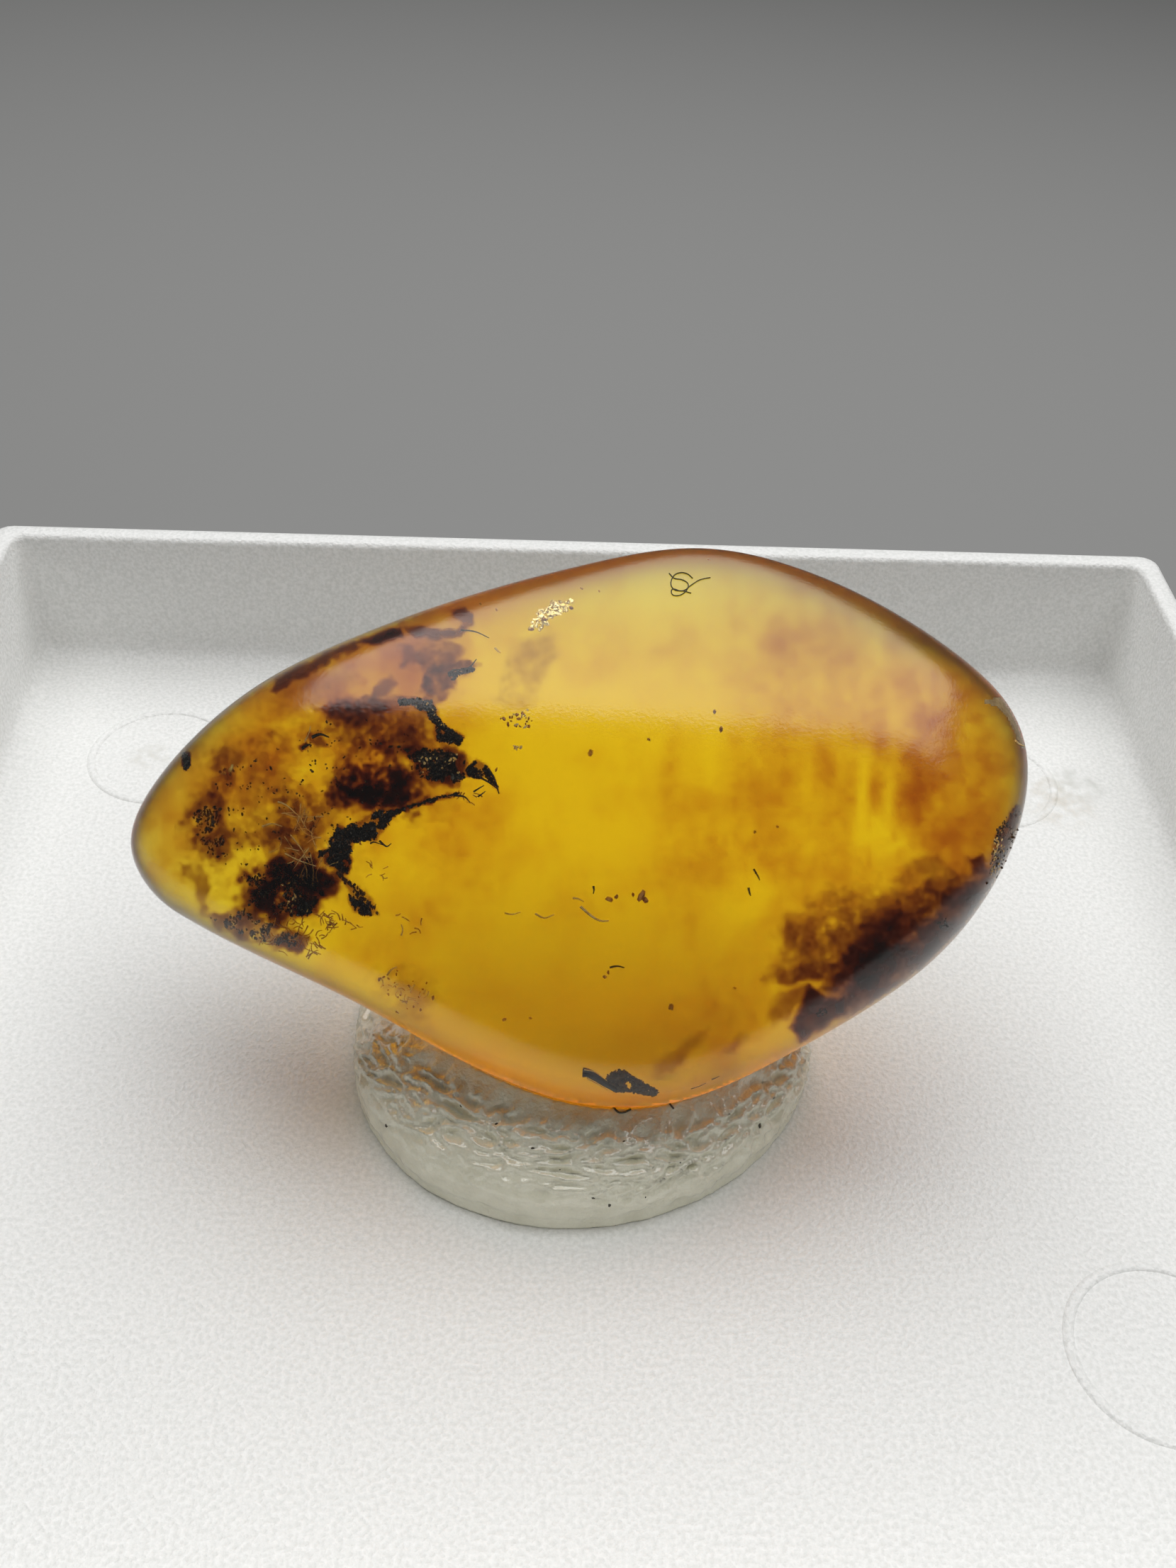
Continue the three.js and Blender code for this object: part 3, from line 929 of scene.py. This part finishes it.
# Areas of layers are left, top, right, bottom and step in pixels; thicknesses are millimetres.
# A pale chip scar on the right-hand edge.
CHIP = [
    (1392, 990), (1410, 996), (1424, 1012), (1434, 1034), (1442, 1054), (1452, 1052), (1444, 1024),
    (1432, 1002), (1416, 984),
]
CHIP_AREA = (1386, 978, 1458, 1062, 3)
CHIP_THICK = 0.03
# Orange clouds in the resin: middle, two half-widths in pixels, tilt in degrees, thickness.
NUGGET_AREA = (176, 764, 1460, 1580, 7)
ORANGE_DEPTH = 0.75
ORANGE_DEPTH_SHARE = 0.35  # of the way through the nugget, at most
ORANGE_LEAST = 0.03
ORANGE_FLOOR = 0.006  # is left where the noise takes the most away
ORANGE_CONTRAST = 0.6
ORANGE_MOTTLE = 0.1
ORANGE_CLOUDS = [
    (1340, 1140, 95, 140, 0, 0.62), (1130, 1190, 170, 170, 0, 0.28), (830, 1420, 330, 110, 10, -0.04),
    (1030, 1440, 150, 80, -30, 0.24), (610, 1390, 110, 80, 30, 0.12), (560, 1250, 90, 110, 0, 0.16),
    (400, 1060, 170, 70, -20, 0.36), (520, 940, 180, 60, -20, 0.7), (1270, 960, 160, 90, 30, 0.45),
    (1000, 920, 140, 70, 0, 0.16), (1130, 900, 60, 40, 10, 0.15), (860, 940, 60, 30, 0, 0.1),
    (230, 1180, 60, 120, 0, 0.3), (650, 1160, 60, 70, 0, 0.25), (850, 1080, 120, 140, 0, -0.1),
    (480, 1090, 150, 90, -15, 0.25), (1057, 1265, 45, 34, -20, -0.35), (960, 1200, 50, 60, 0, 0.15),
    (1150, 1180, 40, 40, 0, -0.14), (947, 1075, 12, 50, 3, 0.15), (1002, 1070, 12, 55, 3, -0.12),
    (1040, 1085, 10, 50, 3, 0.14), (1109, 1090, 11, 60, 3, 0.16), (1138, 1095, 10, 55, 3, -0.12),
    (1168, 1100, 12, 60, 3, 0.14), (1216, 1125, 9, 70, 5, -0.34), (1234, 1135, 6, 75, 5, 0.24),
    (1254, 1130, 10, 72, 5, -0.36), (1290, 1110, 18, 75, 5, 0.12), (1374, 1000, 50, 60, 20, 0.35),
]
# Painted shade along the lower edge, where the putty keeps the light away: a dark sheet in the resin,
# in the same form.
RIM_AREA = (560, 1440, 1090, 1580, 4)
RIM_DEPTH = 0.1
RIM_SHADE_BLOBS = [
    (640, 1500, 55, 20, 27, 0.09), (730, 1540, 55, 20, 20, 0.1), (810, 1564, 55, 22, 10, 0.1),
    (890, 1572, 55, 23, 0, 0.12), (960, 1562, 50, 25, -15, 0.14), (1025, 1540, 45, 26, -28, 0.14),
]
# Dark clouds: polygon, thickness, soft edge and raggedness in pixels, unevenness.
DARK_AREAS = [
    (246, 852, 720, 1350, 3), (1050, 1130, 1458, 1480, 4), (900, 1440, 1062, 1526, 4),
    (690, 880, 800, 1004, 4), (504, 1346, 640, 1450, 3),
]
DARK_DEPTH = 0.3
DARK_PATCHES = [
    ([(280, 1060), (400, 1010), (560, 1010), (640, 1060), (640, 1120), (560, 1150), (500, 1170),
      (470, 1260), (400, 1290), (330, 1290), (280, 1220)], 0.045, 70, 24, 2.2),
    (CREST, 0.22, 4, 5, 0.5),
    (BLOCK, 0.35, 12, 9, 0.9),
    (FINGER, 0.2, 3, 4, 0.4),
    (RAGGED_LINE, 0.22, 4, 5, 0.6),
    (LOWER_BLOCK, 0.3, 5, 5, 0.4),
    (LOWER_CLOUD, 0.65, 26, 14, 0.9),
    (LOWER_PATCH, 0.25, 4, 4, 0.4),
    (EDGE_BLOCK, 0.3, 4, 3, 0.3),
    (LEFT_SPOT, 0.7, 3, 1, 0.0),
    ([(472, 1105), (495, 1080), (511, 1067), (536, 1060), (552, 1073), (578, 1092), (584, 1115),
      (571, 1134), (549, 1137), (533, 1140), (511, 1134), (491, 1124), (476, 1118)], 0.5, 36, 24, 1.2),
    (TAIL, 0.16, 5, 5, 0.6),
    ([(466, 1000), (501, 996), (533, 994), (565, 996), (597, 1004), (613, 1029), (619, 1050),
      (590, 1060), (552, 1060), (536, 1066), (517, 1070), (495, 1060), (480, 1032),
      (462, 1016)], 0.2, 34, 16, 1.1),
    ([(383, 1115), (409, 1108), (434, 1121), (453, 1137), (450, 1163), (440, 1188), (421, 1201),
      (402, 1182), (399, 1156), (389, 1137)], 0.2, 26, 14, 0.9),
    ([(366, 1163), (402, 1152), (430, 1190), (460, 1206), (440, 1226), (409, 1220), (380, 1212),
      (366, 1190)], 0.16, 26, 14, 1.0),
    ([(262, 1143), (294, 1125), (316, 1132), (312, 1163), (326, 1185), (326, 1208), (310, 1220),
      (288, 1208), (272, 1185)], 0.2, 24, 16, 1.1),
    ([(300, 1104), (319, 1086), (330, 1090), (324, 1115), (314, 1140), (298, 1136)], 0.12, 10, 8, 0.7),
    ([(257, 1223), (278, 1218), (293, 1229), (296, 1249), (293, 1274), (293, 1294), (279, 1288),
      (279, 1261), (269, 1244), (257, 1238)], 0.14, 8, 7, 0.6),
    ([(290, 1293), (319, 1288), (342, 1278), (366, 1292), (392, 1298), (388, 1314), (412, 1310),
      (438, 1322), (424, 1342), (389, 1338), (364, 1331), (335, 1325), (310, 1311)], 0.22, 8, 9, 1.0),
    ([(300, 1062), (340, 1052), (376, 1028), (392, 1040), (360, 1066), (330, 1084),
      (300, 1080)], 0.08, 14, 12, 1.0),
    ([(434, 1034), (453, 1032), (461, 1055), (449, 1055), (437, 1044)], 0.2, 5, 4, 0.6),
    ([(420, 1055), (431, 1047), (435, 1051), (425, 1060)], 0.4, 3, 2, 0.2),
    ([(380, 971), (393, 955), (418, 942), (440, 930), (472, 918), (501, 906), (508, 911), (495, 924),
      (466, 932), (447, 944), (434, 957), (409, 962), (389, 980)], 0.3, 7, 7, 0.5),
    ([(505, 905), (533, 894), (562, 887), (566, 898), (549, 904), (527, 909)], 0.45, 6, 4, 0.4),
    ([(570, 888), (590, 882), (613, 890), (645, 887), (660, 881), (664, 868), (668, 878), (648, 897),
      (613, 903), (588, 899)], 0.3, 6, 5, 0.5),
    ([(636, 862), (654, 858), (667, 871), (656, 880), (641, 871)], 0.3, 5, 3, 0.4),
    ([(565, 914), (600, 909), (629, 905), (656, 917), (648, 930), (622, 940), (590, 946),
      (565, 936)], 0.16, 12, 10, 0.9),
    ([(595, 955), (620, 936), (654, 934), (675, 942), (668, 951), (650, 952), (643, 972), (626, 990),
      (604, 990), (594, 974)], 0.26, 8, 11, 1.0),
    ([(526, 970), (555, 953), (561, 962), (545, 980), (531, 985)], 0.16, 7, 5, 0.5),
    ([(383, 978), (421, 955), (485, 939), (505, 952), (482, 986), (428, 997),
      (396, 992)], 0.05, 20, 8, 0.6),
    ([(446, 1002), (485, 990), (514, 982), (545, 992), (545, 1012), (501, 1014),
      (466, 1014)], 0.14, 12, 10, 1.2),
    ([(1180, 1400), (1189, 1367), (1216, 1346), (1249, 1315), (1277, 1296), (1304, 1272), (1326, 1250),
      (1359, 1247), (1375, 1244), (1394, 1240), (1400, 1256), (1382, 1290), (1345, 1330), (1300, 1362),
      (1240, 1402), (1200, 1426)], 0.6, 54, 16, 0.6),
    ([(1112, 1448), (1131, 1424), (1140, 1393), (1151, 1399), (1164, 1411), (1190, 1409), (1190, 1428),
      (1160, 1450), (1128, 1468)], 0.5, 9, 5, 0.3),
    ([(1088, 1415), (1120, 1395), (1142, 1389), (1133, 1412), (1112, 1432),
      (1090, 1448)], 0.12, 12, 8, 0.5),
    ([(1075, 1385), (1090, 1364), (1120, 1364), (1148, 1361), (1184, 1358), (1208, 1336), (1190, 1388),
      (1148, 1376), (1120, 1387)], 0.18, 12, 9, 0.8),
    ([(1106, 1318), (1178, 1270), (1222, 1270), (1266, 1258), (1300, 1262), (1300, 1300), (1260, 1322),
      (1220, 1356), (1184, 1376), (1140, 1368), (1106, 1350)], 0.2, 40, 16, 0.9),
    ([(1258, 1243), (1277, 1225), (1304, 1210), (1325, 1210), (1325, 1226), (1299, 1238),
      (1277, 1252)], 0.1, 12, 8, 0.6),
    ([(1368, 1213), (1386, 1206), (1390, 1232), (1374, 1234)], 0.4, 7, 4, 0.3),
    ([(1412, 1172), (1436, 1136), (1442, 1147), (1426, 1194), (1411, 1228), (1398, 1214),
      (1404, 1188)], 0.3, 5, 4, 0.7),
    ([(925, 1500), (964, 1472), (998, 1452), (989, 1471), (966, 1495), (941, 1518),
      (920, 1521)], 0.06, 10, 5, 0.5),
    ([(1020, 1484), (1046, 1457), (1053, 1463), (1036, 1484)], 0.08, 7, 4, 0.4),
    ([(700, 988), (714, 940), (740, 906), (774, 892), (790, 902), (776, 934), (760, 968), (744, 994),
      (720, 998)], 0.05, 16, 10, 1.0),
    (NEST, 0.028, 24, 12, 2.2),
]


def add_grains(heap, flat, polygon, count, sizes, soft, patchy, depths):
    for x, y in scatter(polygon, count, soft, patchy):
        seen = sight(x, y)
        if seen is None:
            continue
        place, bent, normal, reach = seen
        depth = min(rng.uniform(*depths) * MM, DEEPEST_GRAIN * reach)
        stretch = rng.choice(GRAIN_STRETCHES)
        heap.grain(place + bent * depth, rng.uniform(*sizes), stretch, normal if flat else None)


def add_needles(heap, polygon, count, lengths, thick, depths):
    for x, y in scatter(polygon, count, 0, 0):
        angle = rng.uniform(0, math.tau)
        half = Vector((math.cos(angle), math.sin(angle))) * rng.uniform(*lengths) / 2
        sag = half.orthogonal() * rng.uniform(-NEEDLE_SAG, NEEDLE_SAG)
        middle = Vector((x, y))
        path = under_path([middle - half, middle + sag, middle + half], rng.uniform(*depths))
        if len(path) > 2:
            heap.thread(path, thick, thick * NEEDLE_TAPER, NEEDLE_SIDES)


# Debris: grains, whether they lie flat, and what its material takes.
DEBRIS = {
    "black": (BLACK_GRAINS, False, ((0.004, 0.0035, 0.003), (0.03, 0.024, 0.018), 0.35)),
    "brown": (BROWN_GRAINS, False, ((0.025, 0.011, 0.004), (0.13, 0.055, 0.016), 0.45)),
    "pale": (PALE_GRAINS, True, ((0.8, 0.45, 0.1), (0.95, 0.72, 0.32), 0.4)),
    "gold": (GOLD_GRAINS, True, ((1.0, 0.78, 0.3), (1.0, 0.92, 0.6), 0.3, 1.0)),
    "orange": (ORANGE_GRAINS, False, ((0.5, 0.17, 0.02), (0.85, 0.4, 0.08), 0.4)),
}


def make_debris():
    heaps = {key: Heap() for key in DEBRIS}
    for key, (regions, flat, _) in DEBRIS.items():
        for region in regions:
            add_grains(heaps[key], flat, *region)
    for (x, y), size, depth in FLECKS:
        heaps["orange"].grain(under_pixel(x, y, depth), FLECK_SCALE * size, FLECK_STRETCH)
    for key, threads in (("black", DARK_THREADS), ("pale", PALE_THREADS)):
        for path, thick, thin, depth in threads:
            heaps[key].thread(under_path(path, depth), thick, thin)
    for key, regions in (("orange", NEEDLES), ("pale", FIBRES)):
        for region in regions:
            add_needles(heaps[key], *region)
    heaps["black"].thread(under_path(GRUB, GRUB_DEPTH), *GRUB_THICK, GRUB_SIDES)
    for key, (_, _, look) in DEBRIS.items():
        name = "debris_" + key
        heaps[key].piece(name, debris_material(name, *look))


def make_layers(name, material, areas, depth_at, thickness_at, smooth=True):
    """One piece of closed layers under some areas of the photograph."""
    heap = Heap()
    for area in areas:
        heap.add(*cloud_layer(area, depth_at, thickness_at))
    heap.piece(name, material, smooth)


def make_clouds_and_rim_shade():
    orange = cloud_and_shade_material("cloud_orange", ORANGE_ABSORPTION)
    make_layers("clouds_orange", orange, [NUGGET_AREA], orange_depth, orange_thickness)
    dark = cloud_and_shade_material("cloud_dark", DARK_ABSORPTION)
    make_layers("clouds_dark", dark, DARK_AREAS, lambda reach: DARK_DEPTH, dark_thickness)
    # a dark olive sheet along the lower edge: painted shade where the putty keeps the light away
    rim_shade_material = cloud_and_shade_material("painted_shade_olive", RIM_SHADE_ABSORPTION)
    painted_shade = lambda x, y: blob_thickness(RIM_SHADE_BLOBS, x, y)
    make_layers("painted_shade_rim", rim_shade_material, [RIM_AREA], lambda reach: RIM_DEPTH, painted_shade)


def make_chip():
    material = debris_material("chip_scar", (0.45, 0.27, 0.09), (0.68, 0.48, 0.22), 0.5)
    make_layers("chip_scar", material, [CHIP_AREA], lambda reach: 0, chip_thickness, smooth=False)


def make_lint():
    lint = Heap()
    lift = LINT_THICK * PIXEL / MM / 2
    for path in LINT:
        lint.thread(under_path(path, -lift), LINT_THICK, LINT_THICK)
    material = debris_material("lint", (0.02, 0.017, 0.01), (0.05, 0.04, 0.025), 0.6)
    lint.piece("lint", material, smooth=True, slot="putty")


def make_specks(surface):
    def on_putty(x, y):
        return surface.ray_cast(CAMERA_AT, pixel_direction(x, y).normalized())[:2]

    specks = Heap()
    for (x, y), size in PUTTY_SPECKS:
        place, normal = on_putty(x, y)
        specks.grain(place, size, SPECK_STRETCH, normal)
    for path, thick in PUTTY_HAIRS:
        found = [on_putty(*point) for point in curve_points(path)]
        lift = thick / 3 * PIXEL
        places = [place + normal * lift for place, normal in found if place]
        specks.thread(places, thick, thick)
    material = debris_material("speck", (0.03, 0.028, 0.02), (0.12, 0.11, 0.08), 0.6)
    specks.piece("specks", material, slot="putty")


make_camera()
make_stage()
nugget_mesh = make_nugget()
SURFACE = surface_of(nugget_mesh)
make_haze()
putty_mesh = make_putty()
make_box()
make_debris()
make_clouds_and_rim_shade()
make_chip()
make_lint()
make_specks(surface_of(putty_mesh))
